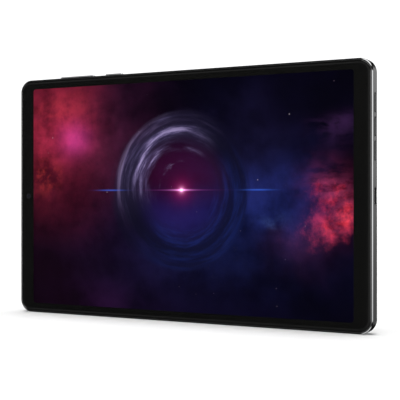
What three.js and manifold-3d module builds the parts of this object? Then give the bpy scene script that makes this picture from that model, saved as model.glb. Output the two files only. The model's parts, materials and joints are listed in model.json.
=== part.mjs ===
// A tablet computer standing on its long edge, screen towards -Y, built up layer by layer as it comes
// apart on a bench. Millimetres, +Z up. The origin is on the flat of the bottom edge, in the middle of
// the width and of the body's thickness.
// Depths ("d") are measured from the front of the cover glass towards the back.
import * as THREE from "three";
import { mergeVertices } from "three/addons/utils/BufferGeometryUtils.js";
import Module from "manifold-3d";

const wasm = await Module();
wasm.setup();

// ---- Driving dimensions ----
const WIDTH = 208.7;
const HEIGHT = 129.9;
const THICK = 7.8;
const CORNER_R = 7;
const CORNER_STEPS = 8;
const MID_Z = HEIGHT / 2;
const EDGE_X = WIDTH / 2;

// Housing section, from the glass rim round to the back
const RIM_DEPTH = 0.25; // the metal rim sits this far behind the glass
const SHOULDER_IN = 0.75;
const SHOULDER_DEPTH = 1.3;
const BACK_ROUND = 2.3;
const WALL = 3;
const SEAT_IN = 1;
const SEAT_DEPTH = 0.95;
const FLOOR_DEPTH = 6.9;
const FREE = 0.05; // gap left between pieces that touch

// Display: an 8.8 inch, 16:10 panel
const ACTIVE_W = 189.5;
const ACTIVE_H = 118.4;
const PANEL_BORDER = 1.2;
const DRIVER_LEDGE = 3.6;
const TRAY_W = 192.1;
const TRAY_H = 120.3;

// Plastic bands that part the metal housing, so that the aerials work
const BAND_X = 90;
const BAND_W = 1.4;

// Side openings: heights up the edge, depths from the front
const SLOT_L = 9.8;
const SLOT_W = 2;
const SLOT_PITCH = 11.3;
const SLOT_MID = 32.5; // middle slot, above mid-height on the right and below it on the left
const SLOT_DEPTH = 3.3;
const USB_L = 8.94;
const USB_W = 3.26;
const USB_DEPTH = 3.7;
const USB_WALL = 0.3;
const MOUTH_L = 8.6; // the port's mouth in the housing, which hides the shell's rim
const MOUTH_W = 2.8;
const MOUTH_T = 0.8;

// Keys on the top edge
const KEY_DEPTH = 3.3;
const KEY_W = 2.2;
const KEY_PROUD = 0.8;
const KEY_GAP = 0.15;
const FLANGE_Z = HEIGHT - 3.8;
const FLANGE_H = 0.4;
const FLANGE_OVER = 1;
const ROCKER = { x: -66.7, length: 22.5 };
const POWER = { x: -42.6, length: 10.8 };
const ROCKER_NIB = 7.5;
const DOME_R = 1.15;
const DOME_H = 0.35;

// Card tray in the left edge
const TRAY_Z = 84;
const CARD_DEPTH = 3.55;
const FACE_L = 20;
const FACE_W = 1.9;
const FACE_T = 1.2;
const TRAY_HALF = 6.5;
const PIN_UP = 8.6;

// Rear camera
const CAMERA = { x: -81.5, z: 114.5, r: 3.75 };
const FLASH = { x: -71.8, z: 114.5, r: 1.85 };
const BUMP = { x0: -88, x1: -66, z0: 108.5, z1: 120.5, back: 8.9, front: 6.95 };

// Screw posts: two in the middle of the housing and one in each end at opposite corners
const POSTS = [
  [-93.5, 7.6],
  [93.5, 121.9],
  [-55.6, 119],
  [82.2, 10],
];
const POST_R = 1.6;
const POST_TOP = 3.55;
const SCREW_R = 0.6;
const SCREW_HEAD_R = 1.4;
const SCREW_HEAD_H = 0.25;
const SCREW_L = 2.2;

// ---- Finishes ----
const finish = (color, roughness, metalness, more = {}) =>
  new THREE.MeshStandardMaterial({ color, roughness, metalness, ...more });
const metal = finish(0x55585c, 0.35, 0.9);
const keyMetal = finish(0x6a6d71, 0.3, 0.9);
const bandPlastic = finish(0x2f3134, 0.5, 0);
const glass = finish(0x050506, 0.05, 0, { transparent: true, opacity: 0.4 });
const panelGlass = finish(0x08060f, 0.1, 0);
const blackPlastic = finish(0x141414, 0.6, 0);
const whiteFilm = finish(0xe8ebee, 0.4, 0);
const steel = finish(0xb4b6b8, 0.35, 1);
const magnesium = finish(0x8c8f92, 0.55, 0.8);
const foil = finish(0x23252a, 0.45, 0.2);
const circuitBoard = finish(0x12382a, 0.5, 0.1);
const flexFilm = finish(0x8a4b12, 0.45, 0.1);
const graphite = finish(0x2b2b2d, 0.6, 0.3);
const rubber = finish(0x101010, 0.9, 0);
const tungsten = finish(0x6f7173, 0.4, 1);
const chipBlack = finish(0x1a1b1d, 0.7, 0);

// ---- Solids ----
const yAt = (d) => d - THICK / 2;

// A closed three.js geometry as a solid that can be joined and cut.
function solid(geometry) {
  const bare = geometry.clone();
  bare.deleteAttribute("normal");
  bare.deleteAttribute("uv");
  const merged = mergeVertices(bare, 1e-4);
  return new wasm.Manifold(
    new wasm.Mesh({
      numProp: 3,
      vertProperties: merged.attributes.position.array,
      triVerts: new Uint32Array(merged.index.array),
    }),
  );
}

// A solid back as a three.js geometry.
function geometryOf(made) {
  const mesh = made.getMesh();
  return new THREE.BufferGeometry()
    .setAttribute("position", new THREE.BufferAttribute(mesh.vertProperties, 3))
    .setIndex(new THREE.BufferAttribute(mesh.triVerts, 1))
    .toNonIndexed();
}

// A closed rounded rectangle between two corners.
function roundedRect(u0, v0, u1, v1, r) {
  const s = new THREE.Shape();
  s.moveTo(u0 + r, v0);
  s.lineTo(u1 - r, v0);
  s.absarc(u1 - r, v0 + r, r, -Math.PI / 2, 0);
  s.lineTo(u1, v1 - r);
  s.absarc(u1 - r, v1 - r, r, 0, Math.PI / 2);
  s.lineTo(u0 + r, v1);
  s.absarc(u0 + r, v1 - r, r, Math.PI / 2, Math.PI);
  s.lineTo(u0, v0 + r);
  s.absarc(u0 + r, v0 + r, r, Math.PI, 1.5 * Math.PI);
  return s;
}

// A slot outline with round ends, about its middle.
const slotShape = (u, v, du, dv) =>
  roundedRect(
    u - du / 2,
    v - dv / 2,
    u + du / 2,
    v + dv / 2,
    Math.min(du, dv) / 2 - 0.001,
  );

function polygon(points) {
  return new THREE.Shape(points.map(([u, v]) => new THREE.Vector2(u, v)));
}

const extruded = (shape, depth, curveSegments) =>
  new THREE.ExtrudeGeometry(shape, {
    depth,
    curveSegments,
    bevelEnabled: false,
  });

// An (x, z) shape through the thickness, from depth d0 to d1.
const plate = (shape, d0, d1, steps = 6) =>
  solid(
    extruded(shape, d1 - d0, steps)
      .rotateX(Math.PI / 2)
      .translate(0, yAt(d1), 0),
  );

// A (y, z) shape run along X.
const alongX = (shape, x0, x1, steps = 6) =>
  solid(
    extruded(shape, x1 - x0, steps)
      .applyMatrix4(
        new THREE.Matrix4().makeBasis(
          new THREE.Vector3(0, 1, 0),
          new THREE.Vector3(0, 0, 1),
          new THREE.Vector3(1, 0, 0),
        ),
      )
      .translate(x0, 0, 0),
  );

// An (x, y) shape run up Z.
const alongZ = (shape, z0, z1, steps = 6) =>
  solid(extruded(shape, z1 - z0, steps).translate(0, 0, z0));

const box = (x0, x1, d0, d1, z0, z1) =>
  solid(
    new THREE.BoxGeometry(x1 - x0, d1 - d0, z1 - z0).translate(
      (x0 + x1) / 2,
      yAt((d0 + d1) / 2),
      (z0 + z1) / 2,
    ),
  );

// A round bar through the thickness.
const disc = (x, z, r, d0, d1, steps = 24) =>
  solid(
    new THREE.CylinderGeometry(r, r, d1 - d0, steps).translate(
      x,
      yAt((d0 + d1) / 2),
      z,
    ),
  );

// The tablet's outline pulled in by an inset, as points that run anticlockwise seen from the front.
function outlinePoints(inset) {
  const r = CORNER_R - inset;
  const cx = EDGE_X - CORNER_R;
  const centres = [
    [cx, CORNER_R, -0.5],
    [cx, HEIGHT - CORNER_R, 0],
    [-cx, HEIGHT - CORNER_R, 0.5],
    [-cx, CORNER_R, 1],
  ];
  return centres.flatMap(([x, z, quarter]) =>
    Array.from({ length: CORNER_STEPS + 1 }, (_, i) => {
      const a = (quarter + (0.5 * i) / CORNER_STEPS) * Math.PI;
      return [x + r * Math.cos(a), z + r * Math.sin(a)];
    }),
  );
}

const insetOutline = (inset) =>
  roundedRect(
    -EDGE_X + inset,
    inset,
    EDGE_X - inset,
    HEIGHT - inset,
    CORNER_R - inset,
  );

// A body given by rings of [inset, depth] from front to back, each the tablet's outline pulled in.
function lofted(rings) {
  const loops = rings.map(([inset, d]) =>
    outlinePoints(inset).map(([x, z]) => [x, yAt(d), z]),
  );
  const n = loops[0].length;
  const index = [];
  for (let i = 0; i + 1 < loops.length; i++)
    for (let j = 0; j < n; j++) {
      const a = i * n + j;
      const b = i * n + ((j + 1) % n);
      index.push(a, b + n, b, a, a + n, b + n);
    }
  const last = (loops.length - 1) * n;
  for (let j = 1; j + 1 < n; j++)
    index.push(0, j, j + 1, last, last + j + 1, last + j);
  const g = new THREE.BufferGeometry().setAttribute(
    "position",
    new THREE.Float32BufferAttribute(loops.flat(2), 3),
  );
  return solid(g.setIndex(index));
}

// Rings on a quarter of an ellipse: sweep 0 to 1 runs from the first ring to the last.
const quarter = (steps, ring) =>
  Array.from({ length: steps + 1 }, (_, i) => ring((i / steps) * (Math.PI / 2)));

// ---- Assembly ----
const tablet = new THREE.Group();

// Adds a piece under its name. Repeated pieces are placed by position and rotation.
function add(group, name, made, material, position = [0, 0, 0], turn = 0) {
  const mesh = new THREE.Mesh(geometryOf(made), material);
  mesh.name = name;
  mesh.position.set(...position);
  mesh.rotation.y = turn;
  group.add(mesh);
}

function subgroup() {
  const g = new THREE.Group();
  tablet.add(g);
  return g;
}

// ---- Front glass and display ----
function coverGlass() {
  const curveIn = 1.44;
  const curveDepth = 0.4;
  const edge = SEAT_IN + 0.06;
  const rings = quarter(5, (a) => [
    edge + curveIn * (1 - Math.sin(a)),
    curveDepth * (1 - Math.cos(a)),
  ]);
  return lofted([...rings, [edge, 0.7]]);
}

function glassAdhesive() {
  const outer = plate(insetOutline(1.3), 0.72, SEAT_DEPTH - 0.02);
  return outer.subtract(plate(insetOutline(2.9), 0, 2));
}

function lcdPanel() {
  const halfW = ACTIVE_W / 2 + PANEL_BORDER;
  const halfH = ACTIVE_H / 2 + PANEL_BORDER;
  const shape = roundedRect(
    -halfW,
    MID_Z - halfH,
    halfW + DRIVER_LEDGE,
    MID_Z + halfH,
    1,
  );
  return plate(shape, 0.75, 1.75, 3);
}

// The panel's cable leaves the driver ledge, folds round the tray and runs in behind it.
function displayFlex() {
  const fold = [
    [98, 1.8],
    [100, 1.8],
    [100, 2.93],
    [72, 2.93],
    [72, 2.83],
    [99.9, 2.83],
    [99.9, 1.9],
    [98, 1.9],
  ];
  return alongZ(polygon(fold.map(([x, d]) => [x, yAt(d)])), 26, 46);
}

const filmSheet = (x1, d0, d1) =>
  box(-TRAY_W / 2 + 0.5, x1, d0, d1, MID_Z - TRAY_H / 2 + 0.5, MID_Z + TRAY_H / 2 - 0.5);

// A row of white LEDs on a thin strip, shining into the end of the light guide.
function ledStrip() {
  const count = 20;
  const pitch = (TRAY_H - 8) / (count - 1);
  let strip = box(93.9, 95.4, 2.38, 2.46, MID_Z - TRAY_H / 2 + 1, MID_Z + TRAY_H / 2 - 1);
  for (let i = 0; i < count; i++) {
    const z = MID_Z + (i - (count - 1) / 2) * pitch;
    strip = strip.add(box(94, 95, 2.02, 2.4, z - 1.4, z + 1.4));
  }
  return strip;
}

function backlightTray() {
  const half = TRAY_W / 2;
  const low = MID_Z - TRAY_H / 2;
  const high = MID_Z + TRAY_H / 2;
  const sheet = 0.2;
  const pan = box(-half, half, 1.8, 2.78, low, high);
  return pan.subtract(
    box(-half + sheet, half - sheet, 1, 2.78 - sheet, low + sheet, high - sheet),
  );
}

function buildDisplay() {
  const g = subgroup();
  add(g, "cover_glass", coverGlass(), glass);
  add(g, "glass_adhesive", glassAdhesive(), blackPlastic);
  add(g, "lcd_panel", lcdPanel(), panelGlass);
  add(g, "display_flex", displayFlex(), flexFilm);
  add(g, "prism_film", filmSheet(TRAY_W / 2 - 0.5, 1.82, 1.96), whiteFilm);
  add(g, "light_guide", filmSheet(93.6, 2, 2.4), whiteFilm);
  add(g, "led_strip", ledStrip(), whiteFilm);
  add(g, "reflector_film", filmSheet(TRAY_W / 2 - 0.5, 2.48, 2.54), whiteFilm);
  add(g, "backlight_tray", backlightTray(), steel);
}

// ---- Middle frame and its screws ----
function midFrame() {
  const half = 96;
  const outline = roundedRect(-half, MID_Z - TRAY_H / 2, half, MID_Z + TRAY_H / 2, 2);
  let frame = plate(outline, 3, 3.5, 3);
  frame = frame.subtract(box(-100, -83, 2, 5, TRAY_Z - 8.5, TRAY_Z + 8.5));
  for (const [x, z] of POSTS)
    frame = frame
      .subtract(disc(x, z, SCREW_R + 0.15, 2, 4, 12))
      .subtract(disc(x, z, SCREW_HEAD_R + 0.15, 2, 3.3, 12));
  return frame;
}

function screw() {
  const profile = [
    [0, 0],
    [SCREW_HEAD_R, 0],
    [SCREW_HEAD_R, SCREW_HEAD_H],
    [SCREW_R, SCREW_HEAD_H],
    [SCREW_R, SCREW_L - 0.3],
    [0, SCREW_L],
  ];
  const turned = new THREE.LatheGeometry(
    profile.map(([r, y]) => new THREE.Vector2(r, y)),
    12,
  );
  const slot = new THREE.BoxGeometry(1.8, 0.2, 0.3);
  return solid(turned).subtract(solid(slot));
}

function buildMidFrame() {
  const g = subgroup();
  add(g, "mid_frame", midFrame(), magnesium);
  POSTS.forEach(([x, z], i) =>
    add(g, `mid_frame_screw_${i + 1}`, screw(), steel, [x, yAt(3.02), z]),
  );
}

// ---- Housing ----
function bareShell() {
  const rim = quarter(4, (a) => [
    SHOULDER_IN * (1 - Math.sin(a)),
    SHOULDER_DEPTH - (SHOULDER_DEPTH - RIM_DEPTH) * Math.cos(a),
  ]);
  const back = quarter(6, (a) => [
    BACK_ROUND * (1 - Math.cos(a)),
    THICK - BACK_ROUND * (1 - Math.sin(a)),
  ]);
  return lofted([...rim, ...back])
    .subtract(plate(insetOutline(SEAT_IN), -1, SEAT_DEPTH, CORNER_STEPS))
    .subtract(plate(insetOutline(WALL), -1, FLOOR_DEPTH, CORNER_STEPS));
}

const slabX = (x0, x1) => box(x0, x1, -5, 15, -10, HEIGHT + 10);

function screwPost([x, z]) {
  return disc(x, z, POST_R, POST_TOP, FLOOR_DEPTH + 0.1, 16);
}

const postHole = ([x, z]) => disc(x, z, SCREW_R + FREE, 3, 5.9, 12);

// Three speaker slots through one end wall; up is 1 above mid-height and -1 below it.
function speakerSlots(x0, x1, up) {
  return [-1, 0, 1]
    .map((i) => MID_Z + up * SLOT_MID + i * SLOT_PITCH)
    .map((z) => alongX(slotShape(yAt(SLOT_DEPTH), z, SLOT_W, SLOT_L), x0, x1, 5))
    .reduce((a, b) => a.add(b));
}

function keyOpening(key) {
  const shape = slotShape(
    key.x,
    yAt(KEY_DEPTH),
    key.length + 2 * KEY_GAP,
    KEY_W + 2 * KEY_GAP,
  );
  return alongZ(shape, HEIGHT - WALL - 1, HEIGHT + 1);
}

function bumpShape(inset) {
  const r = (BUMP.z1 - BUMP.z0) / 2 - inset - 0.001;
  return roundedRect(BUMP.x0 + inset, BUMP.z0 + inset, BUMP.x1 - inset, BUMP.z1 - inset, r);
}

function housingCentre(shell) {
  const edge = BAND_X - BAND_W / 2;
  const micHole = solid(new THREE.CylinderGeometry(0.45, 0.45, 8, 12))
    .rotate([90, 0, 0])
    .translate([-70.2, yAt(KEY_DEPTH), 0]);
  return shell
    .intersect(slabX(-edge, edge))
    .add(screwPost(POSTS[2]))
    .add(screwPost(POSTS[3]))
    .subtract(postHole(POSTS[2]))
    .subtract(postHole(POSTS[3]))
    .subtract(keyOpening(ROCKER))
    .subtract(keyOpening(POWER))
    .subtract(micHole)
    .subtract(plate(bumpShape(-0.1), 6, 9));
}

function housingEndRight(shell) {
  const mouth = slotShape(yAt(USB_DEPTH), MID_Z, MOUTH_W, MOUTH_L);
  const seat = slotShape(yAt(USB_DEPTH), MID_Z, USB_W + 0.34, USB_L + 0.34);
  return shell
    .intersect(slabX(BAND_X + BAND_W / 2, EDGE_X + 1))
    .add(screwPost(POSTS[1]))
    .subtract(postHole(POSTS[1]))
    .subtract(speakerSlots(EDGE_X - WALL - 1, EDGE_X + 1, 1))
    .subtract(alongX(mouth, EDGE_X - WALL - 1, EDGE_X + 1))
    .subtract(alongX(seat, EDGE_X - WALL - 1, EDGE_X - MOUTH_T));
}

function housingEndLeft(shell) {
  const face = slotShape(yAt(CARD_DEPTH), TRAY_Z + 1.5, FACE_W + 0.2, FACE_L + 0.2);
  const pin = slotShape(yAt(CARD_DEPTH), TRAY_Z + PIN_UP, 1, 1.001);
  return shell
    .intersect(slabX(-EDGE_X - 1, -BAND_X - BAND_W / 2))
    .add(screwPost(POSTS[0]))
    .subtract(postHole(POSTS[0]))
    .subtract(speakerSlots(-EDGE_X - 1, -EDGE_X + WALL + 1, -1))
    .subtract(alongX(face, -EDGE_X - 1, -EDGE_X + FACE_T + 0.1))
    .subtract(alongX(pin, -EDGE_X - 1, -EDGE_X + WALL + 1, 3))
    .subtract(
      box(-EDGE_X, -EDGE_X + WALL + 1, 2.85, 4.25, TRAY_Z - TRAY_HALF - 0.35, TRAY_Z + TRAY_HALF + 0.35),
    );
}

// The plastic band follows the housing's own section, in the slit between two metal parts.
function antennaBand(shell, side) {
  const middle = side * BAND_X;
  const half = BAND_W / 2 - FREE;
  return shell.intersect(slabX(middle - half, middle + half));
}

function buildHousing() {
  const g = subgroup();
  const shell = bareShell();
  add(g, "housing_centre", housingCentre(shell), metal);
  add(g, "housing_end_left", housingEndLeft(shell), metal);
  add(g, "housing_end_right", housingEndRight(shell), metal);
  add(g, "antenna_band_left", antennaBand(shell, -1), bandPlastic);
  add(g, "antenna_band_right", antennaBand(shell, 1), bandPlastic);
}

// ---- Cameras ----
function cameraBump() {
  return plate(bumpShape(0), BUMP.front, BUMP.back)
    .subtract(plate(bumpShape(1.2), BUMP.front - 1, BUMP.back - 0.7))
    .subtract(disc(CAMERA.x, CAMERA.z, CAMERA.r, 8, 10))
    .subtract(disc(FLASH.x, FLASH.z, FLASH.r, 8, 10, 16));
}

function rearCameraModule() {
  const half = 4.3;
  const { x, z } = CAMERA;
  return box(x - half, x + half, 3.7, 6.8, z - half, z + half).add(
    disc(x, z, 3, 6.7, 8.35),
  );
}

function frontCameraModule() {
  const x = -98.6;
  return box(x - 2, x + 2, 1.9, 4.6, MID_Z - 2.6, MID_Z + 2.6).add(
    disc(x + 0.2, MID_Z, 1.6, 0.8, 2, 16),
  );
}

function buildCameras() {
  const g = subgroup();
  add(g, "camera_bump", cameraBump(), metal);
  add(g, "rear_camera_module", rearCameraModule(), chipBlack);
  add(g, "rear_camera_glass", disc(CAMERA.x, CAMERA.z, CAMERA.r - 0.1, 8.42, 8.8), glass);
  add(g, "flash_lamp", disc(FLASH.x, FLASH.z, FLASH.r - 0.1, 7.4, 8.85, 16), whiteFilm);
  add(g, "front_camera_module", frontCameraModule(), chipBlack);
  add(g, "light_sensor", box(-99.8, -97.2, 0.95, 4.9, 69.5, 72.5), chipBlack);
}

// ---- Boards, power and cables ----
function mainBoard() {
  const outline = polygon([
    [-83.5, 5],
    [-58.5, 5],
    [-58.5, 124],
    [-90, 124],
    [-90, 97],
    [-100.5, 97],
    [-100.5, 56],
    [-83.5, 56],
  ]);
  let board = plate(outline, 5, 5.8).subtract(
    box(CAMERA.x - 5, CAMERA.x + 5, 4, 7, CAMERA.z - 5, CAMERA.z + 5),
  );
  const row = 5;
  for (let i = 0; i < row; i++) {
    const z = 37 + i * 4.4;
    board = board.add(box(-79, -75, 4.1, 5.1, z, z + 3)); // power coils
    board = board.add(box(-72, -64, 4.4, 5.1, z, z + 2)); // connectors
  }
  return board;
}

// A pressed cover, open towards the board it stands on.
function shield(x0, x1, z0, z1) {
  const sheet = 0.2;
  return box(x0, x1, 3.65, 4.95, z0, z1).subtract(
    box(x0 + sheet, x1 - sheet, 3.65 + sheet, 6, z0 + sheet, z1 - sheet),
  );
}

function usbShell() {
  const outer = slotShape(yAt(USB_DEPTH), MID_Z, USB_W, USB_L);
  const inner = slotShape(
    yAt(USB_DEPTH),
    MID_Z,
    USB_W - 2 * USB_WALL,
    USB_L - 2 * USB_WALL,
  );
  return alongX(outer, 96.4, EDGE_X - MOUTH_T - 0.15).subtract(alongX(inner, 90, 110));
}

function usbTongue() {
  const plug = slotShape(
    yAt(USB_DEPTH),
    MID_Z,
    USB_W - 2 * USB_WALL - 2 * FREE,
    USB_L - 2 * USB_WALL - 2 * FREE,
  );
  const blade = box(97, 102.6, USB_DEPTH - 0.35, USB_DEPTH + 0.35, MID_Z - 3.35, MID_Z + 3.35);
  return alongX(plug, 96.5, 98.3).add(blade);
}

// A flat cable under the batteries' lower edge, with a plug at each end.
function boardLinkFlex() {
  const route = polygon([
    [-64, 4.8],
    [85.7, 4.8],
    [85.7, 47.4],
    [91, 47.4],
    [91, 51],
    [84.1, 51],
    [84.1, 8.1],
    [-64, 8.1],
  ]);
  return plate(route, 4.6, 4.75)
    .add(box(-64, -60, 4.7, 4.95, 5.2, 7.8))
    .add(box(87, 91, 4.7, 5.4, 47.6, 50.8));
}

function batteryBoard() {
  const strip = box(-64, -29, 4.4, 4.55, 121.9, 124);
  return box(-30, 50, 4.2, 5, 121.6, 124.4)
    .add(strip)
    .add(box(-64, -60.5, 4.5, 4.95, 121.9, 124));
}

function batteryCell() {
  return plate(roundedRect(-32.8, 8.5, 32.8, 121, 1.5), 3.65, 6.65, 3);
}

// The aerial's coaxial lead follows the lower edge, behind the boards.
function antennaCable() {
  const d = 6.25;
  const route = [
    [96.6, 14],
    [92, 13.4],
    [88, 8.5],
    [84, 5.9],
    [70, 5.6],
    [30, 5.6],
    [-20, 5.6],
    [-52, 5.6],
    [-60, 7.5],
    [-66, 12],
  ];
  const path = new THREE.CatmullRomCurve3(
    route.map(([x, z]) => new THREE.Vector3(x, yAt(d), z)),
    false,
    "centripetal",
  );
  const section = new THREE.Shape().absarc(0, 0, 0.4, 0, 2 * Math.PI);
  return solid(
    new THREE.ExtrudeGeometry(section, {
      steps: 28,
      curveSegments: 4,
      bevelEnabled: false,
      extrudePath: path,
    }),
  );
}

function buildElectronics() {
  const g = subgroup();
  add(g, "main_board", mainBoard(), circuitBoard);
  add(g, "processor_shield", shield(-80, -60, 61, 87), steel);
  add(g, "power_shield", shield(-80, -60, 10, 34), steel);
  add(g, "radio_shield", shield(-74, -60, 91, 118), steel);
  add(g, "processor_chip", box(-77, -63, 5.85, 6.55, 67, 81), chipBlack);
  add(g, "charging_board", box(86, 101, 5.45, 6.25, 46.5, 76), circuitBoard);
  add(g, "usb_c_shell", usbShell(), steel);
  add(g, "usb_c_tongue", usbTongue(), blackPlastic);
  add(g, "board_link_flex", boardLinkFlex(), flexFilm);
  add(g, "battery_cell_left", batteryCell(), foil, [-19.6, 0, 0]);
  add(g, "battery_cell_right", batteryCell(), foil, [46.6, 0, 0]);
  add(g, "battery_board", batteryBoard(), circuitBoard);
  add(g, "graphite_sheet", box(-82, 60, 6.7, 6.85, 15, 105), graphite);
  add(g, "antenna_block", box(97, 100.8, 3.6, 6.6, 10, 21), blackPlastic);
  add(g, "antenna_cable", antennaCable(), blackPlastic);
  add(g, "microphone", box(-72, -68.4, 3.9, 4.95, 5.2, 7.9), steel);
}

// ---- Speakers ----
// Built for the right end with its own middle at z = 0; the left one is the same piece turned round.
function speakerBox() {
  return box(85, 100.4, 3.6, 6.65, -19.3, 19.3)
    .add(box(97, 100.4, 2.4, 3.8, -17.5, 17.5))
    .subtract(box(85.7, 99.8, 4.2, 6.05, -18.6, 18.6))
    .subtract(box(97.6, 101, 2.8, 4.6, -16.8, 16.8))
    .subtract(box(86.8, 96.2, 3, 5, -8.2, 8.2));
}

function speakerDriver() {
  return box(87, 96, 3.6, 4.3, -8, 8).add(box(88.5, 94.5, 4.2, 5.8, -5.5, 5.5));
}

const speakerMesh = () => box(100.5, 100.9, 2.15, 4.6, -16.9, 16.9);

function buildSpeakers() {
  const ends = [
    { side: "right", z: MID_Z + SLOT_MID, turn: 0 },
    { side: "left", z: MID_Z - SLOT_MID, turn: Math.PI },
  ];
  for (const { side, z, turn } of ends) {
    const g = subgroup();
    add(g, `speaker_box_${side}`, speakerBox(), blackPlastic, [0, 0, z], turn);
    add(g, `speaker_driver_${side}`, speakerDriver(), steel, [0, 0, z], turn);
    add(g, `speaker_mesh_${side}`, speakerMesh(), blackPlastic, [0, 0, z], turn);
  }
}

// ---- Vibration motor: a weight between two springs, shaken along X ----
const HAPTIC = { x: 92.5, z: 28 };

function hapticCase() {
  return box(-6.5, 6.5, 3.6, 6.6, -4.5, 4.5).subtract(
    box(-6.1, 6.1, 4, 8, -4.1, 4.1),
  );
}

// A bent leaf between the case's end and the weight.
function hapticSpring() {
  const leaf = [
    [-6, -3.6],
    [-5.7, -3.6],
    [-3.25, -0.2],
    [-3.25, 0.2],
    [-5.7, 3.6],
    [-6, 3.6],
    [-3.6, 0],
  ];
  return plate(polygon(leaf), 4.6, 5.9);
}

function buildHaptics() {
  const g = subgroup();
  const at = [HAPTIC.x, 0, HAPTIC.z];
  add(g, "haptic_case", hapticCase(), steel, at);
  add(g, "haptic_weight", box(-3.2, 3.2, 4.4, 6.1, -3.6, 3.6), tungsten, at);
  add(g, "haptic_spring_left", hapticSpring(), steel, at);
  add(g, "haptic_spring_right", hapticSpring(), steel, at, Math.PI);
}

// ---- Keys on the top edge ----
// A cap through the wall, a flange that holds it in, and nibs over the domes. Built about its own middle.
function keyCap(key, nibs) {
  const cap = alongZ(
    slotShape(0, yAt(KEY_DEPTH), key.length, KEY_W),
    FLANGE_Z,
    HEIGHT + KEY_PROUD,
  );
  const half = key.length / 2 + FLANGE_OVER;
  const flange = box(
    -half,
    half,
    KEY_DEPTH - KEY_W / 2 - 0.35,
    KEY_DEPTH + KEY_W / 2 + 0.35,
    FLANGE_Z,
    FLANGE_Z + FLANGE_H,
  );
  return nibs
    .map((x) => box(x - 0.7, x + 0.7, KEY_DEPTH - 0.5, KEY_DEPTH + 0.5, FLANGE_Z - 0.15, FLANGE_Z + 0.1))
    .reduce((a, b) => a.add(b), cap.add(flange));
}

const KEY_FLEX_Z = HEIGHT - 4.54;
const KEY_FLEX_T = 0.14;

function keyFlex() {
  return box(-80, -36, 2.1, 4.6, KEY_FLEX_Z, KEY_FLEX_Z + KEY_FLEX_T).add(
    box(-79, -75.5, 4.45, 4.6, 119.5, KEY_FLEX_Z + KEY_FLEX_T),
  );
}

// A snap dome: a low cap of pressed steel.
function snapDome() {
  const steps = 4;
  const arc = Array.from({ length: steps + 1 }, (_, i) => {
    const a = (i / steps) * (Math.PI / 2);
    return new THREE.Vector2(DOME_R * Math.cos(a), DOME_H * Math.sin(a));
  });
  arc[steps].x = 0;
  const turned = new THREE.LatheGeometry([new THREE.Vector2(0, 0), ...arc], 16);
  return solid(turned.rotateX(Math.PI / 2));
}

function buildKeys() {
  const g = subgroup();
  const domeY = yAt(KEY_DEPTH);
  const domeZ = KEY_FLEX_Z + KEY_FLEX_T + 0.02;
  add(g, "volume_rocker", keyCap(ROCKER, [-ROCKER_NIB, ROCKER_NIB]), keyMetal, [ROCKER.x, 0, 0]);
  add(g, "power_button", keyCap(POWER, [0]), keyMetal, [POWER.x, 0, 0]);
  add(g, "side_key_flex", keyFlex(), flexFilm);
  add(g, "volume_up_dome", snapDome(), steel, [ROCKER.x - ROCKER_NIB, domeY, domeZ]);
  add(g, "volume_down_dome", snapDome(), steel, [ROCKER.x + ROCKER_NIB, domeY, domeZ]);
  add(g, "power_dome", snapDome(), steel, [POWER.x, domeY, domeZ]);
}

// ---- Memory card tray, its seal and its socket ----
function cardTray() {
  const face = slotShape(yAt(CARD_DEPTH), TRAY_Z + 1.5, FACE_W, FACE_L);
  const pin = slotShape(yAt(CARD_DEPTH), TRAY_Z + PIN_UP, 0.9, 0.901);
  const x0 = -EDGE_X + 0.02;
  return alongX(face, x0, x0 + FACE_T)
    .add(box(x0 + FACE_T - 0.2, -85.6, 3.2, 3.9, TRAY_Z - TRAY_HALF, TRAY_Z + TRAY_HALF))
    .subtract(box(-101.2, -86.1, 3, 3.7, TRAY_Z - 5.6, TRAY_Z + 5.6))
    .subtract(alongX(pin, -EDGE_X - 1, -EDGE_X + 2, 3));
}

function traySeal() {
  const grow = 0.04;
  const ring = 0.22;
  const half = TRAY_HALF + grow;
  const d0 = 3.2 - grow;
  const d1 = 3.9 + grow;
  const outer = box(-102.7, -101.9, d0 - ring, d1 + ring, TRAY_Z - half - ring, TRAY_Z + half + ring);
  return outer.subtract(box(-103, -101, d0, d1, TRAY_Z - half, TRAY_Z + half));
}

function cardSocket() {
  return box(-100.6, -84.5, 2.95, 4.9, TRAY_Z - 7.4, TRAY_Z + 7.4).subtract(
    box(-102, -85.2, 3.1, 4, TRAY_Z - TRAY_HALF - 0.1, TRAY_Z + TRAY_HALF + 0.1),
  );
}

function buildCardTray() {
  const g = subgroup();
  add(g, "card_tray", cardTray(), metal);
  add(g, "tray_seal", traySeal(), rubber);
  add(g, "card_socket", cardSocket(), steel);
}

buildDisplay();
buildMidFrame();
buildHousing();
buildCameras();
buildElectronics();
buildSpeakers();
buildHaptics();
buildKeys();
buildCardTray();

export default tablet;
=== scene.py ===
"""The looks of a tablet computer that stands on its long edge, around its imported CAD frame.

Lengths are in millimetres until mesh() turns them into metres. Depths ("d") are measured from the front of the
cover glass towards the back, as in the CAD. +X is the end with the USB port, the screen faces -Y, and +Z is up.
"""

import json
import math

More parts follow.
